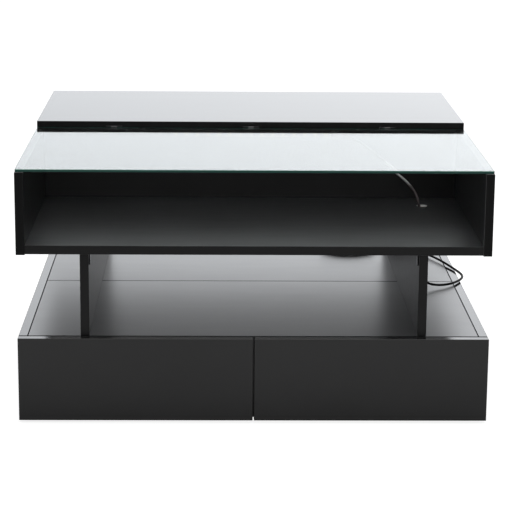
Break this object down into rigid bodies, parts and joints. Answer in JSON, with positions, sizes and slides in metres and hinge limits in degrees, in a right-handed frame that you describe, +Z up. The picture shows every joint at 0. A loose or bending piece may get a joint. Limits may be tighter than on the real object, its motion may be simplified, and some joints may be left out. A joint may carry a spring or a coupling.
{
  "type": "coffee table",
  "caption": "Square black two-level coffee table: open compartment under glass, storage under a hinged lid, upright supports and a low base with handle-less drawers.",
  "frame": {"origin": "on the floor under the middle of the table", "axes": "+Z up, front (glass and seen drawers) towards -Y, +X to the right seen from the front"},
  "size_m": [0.8103, 0.8, 0.452],
  "materials": {
    "black_board": "black satin to gloss coated board",
    "drawer_board": "matt dark foil",
    "drawer_base": "matt hardboard",
    "dowel_wood": "raw beech",
    "glass": "clear, polished edges",
    "clear_plastic": "clear soft pad",
    "steel": "zinc plated",
    "black_steel": "blackened",
    "grey_plastic": "moulded",
    "black_plastic": "moulded",
    "led_tape": "black tape with yellow light chips",
    "cord": "smooth black jacket"
  },
  "bodies": {
    "table": {"base_left_side": "black_board", "base_right_side": "black_board", "base_top_front": "black_board", "base_top_rear": "black_board", "base_bottom_front": "black_board", "base_bottom_rear": "black_board", "base_cross_panel": "black_board", "base_divider_front": "black_board", "base_divider_rear": "black_board", "feet": "black_plastic", "support_left": "black_board", "support_right": "black_board", "support_brackets": "black_steel", "box_left_side": "black_board", "box_right_side": "black_board", "box_floor": "black_board", "box_divider": "black_board", "hinge_rail": "black_board", "box_back": "black_board", "glass_top": "glass", "clear_pads": "clear_plastic", "dowels": "dowel_wood", "push_catches": "grey_plastic", "slide_outer_members": "steel", "hinge_rail_leaves": "black_steel", "hinge_pins": "black_steel", "fixing_screws": "black_steel", "led_strip": "led_tape", "led_connector": "black_plastic", "power_lead": "cord", "cable_coil": "cord", "cable_tie": "black_plastic", "lead_plug": "black_plastic"},
    "lid": {"lid": "black_board", "hinge_lid_leaves": "black_steel", "hinge_lid_screws": "black_steel"},
    "front_left_drawer": {"front_left_drawer_front": "black_board", "front_left_drawer_sides": "drawer_board", "front_left_drawer_back": "drawer_board", "front_left_drawer_bottom": "drawer_base", "front_left_slide_inner_members": "steel"},
    "front_left_slide": {"front_left_slide_middle_members": "steel"},
    "front_right_drawer": {"front_right_drawer_front": "black_board", "front_right_drawer_sides": "drawer_board", "front_right_drawer_back": "drawer_board", "front_right_drawer_bottom": "drawer_base", "front_right_slide_inner_members": "steel"},
    "front_right_slide": {"front_right_slide_middle_members": "steel"},
    "rear_left_drawer": {"rear_left_drawer_front": "black_board", "rear_left_drawer_sides": "drawer_board", "rear_left_drawer_back": "drawer_board", "rear_left_drawer_bottom": "drawer_base", "rear_left_slide_inner_members": "steel"},
    "rear_left_slide": {"rear_left_slide_middle_members": "steel"},
    "rear_right_drawer": {"rear_right_drawer_front": "black_board", "rear_right_drawer_sides": "drawer_board", "rear_right_drawer_back": "drawer_board", "rear_right_drawer_bottom": "drawer_base", "rear_right_slide_inner_members": "steel"},
    "rear_right_slide": {"rear_right_slide_middle_members": "steel"}
  },
  "joints": [
    {"name": "lid_hinge", "type": "hinge", "parent": "table", "child": "lid", "pos_m": [0, 0.01815, 0.442], "axis": [1, 0, 0], "range_deg": [0, 100]},
    {"name": "front_left_drawer_slide", "type": "slide", "parent": "table", "child": "front_left_drawer", "axis": [0, -1, 0], "range_m": [-0.003, 0.32]},
    {"name": "front_left_slide_travel", "type": "slide", "parent": "table", "child": "front_left_slide", "axis": [0, -1, 0], "range_m": [-0.0015, 0.16]},
    {"name": "front_right_drawer_slide", "type": "slide", "parent": "table", "child": "front_right_drawer", "axis": [0, -1, 0], "range_m": [-0.003, 0.32]},
    {"name": "front_right_slide_travel", "type": "slide", "parent": "table", "child": "front_right_slide", "axis": [0, -1, 0], "range_m": [-0.0015, 0.16]},
    {"name": "rear_left_drawer_slide", "type": "slide", "parent": "table", "child": "rear_left_drawer", "axis": [0, 1, 0], "range_m": [-0.003, 0.32]},
    {"name": "rear_left_slide_travel", "type": "slide", "parent": "table", "child": "rear_left_slide", "axis": [0, 1, 0], "range_m": [-0.0015, 0.16]},
    {"name": "rear_right_drawer_slide", "type": "slide", "parent": "table", "child": "rear_right_drawer", "axis": [0, 1, 0], "range_m": [-0.003, 0.32]},
    {"name": "rear_right_slide_travel", "type": "slide", "parent": "table", "child": "rear_right_slide", "axis": [0, 1, 0], "range_m": [-0.0015, 0.16]}
  ],
  "couplings": [
    {"joint": "front_left_slide_travel", "follows": "front_left_drawer_slide", "ratio": 0.5},
    {"joint": "front_right_slide_travel", "follows": "front_right_drawer_slide", "ratio": 0.5},
    {"joint": "rear_left_slide_travel", "follows": "rear_left_drawer_slide", "ratio": 0.5},
    {"joint": "rear_right_slide_travel", "follows": "rear_right_drawer_slide", "ratio": 0.5}
  ]
}
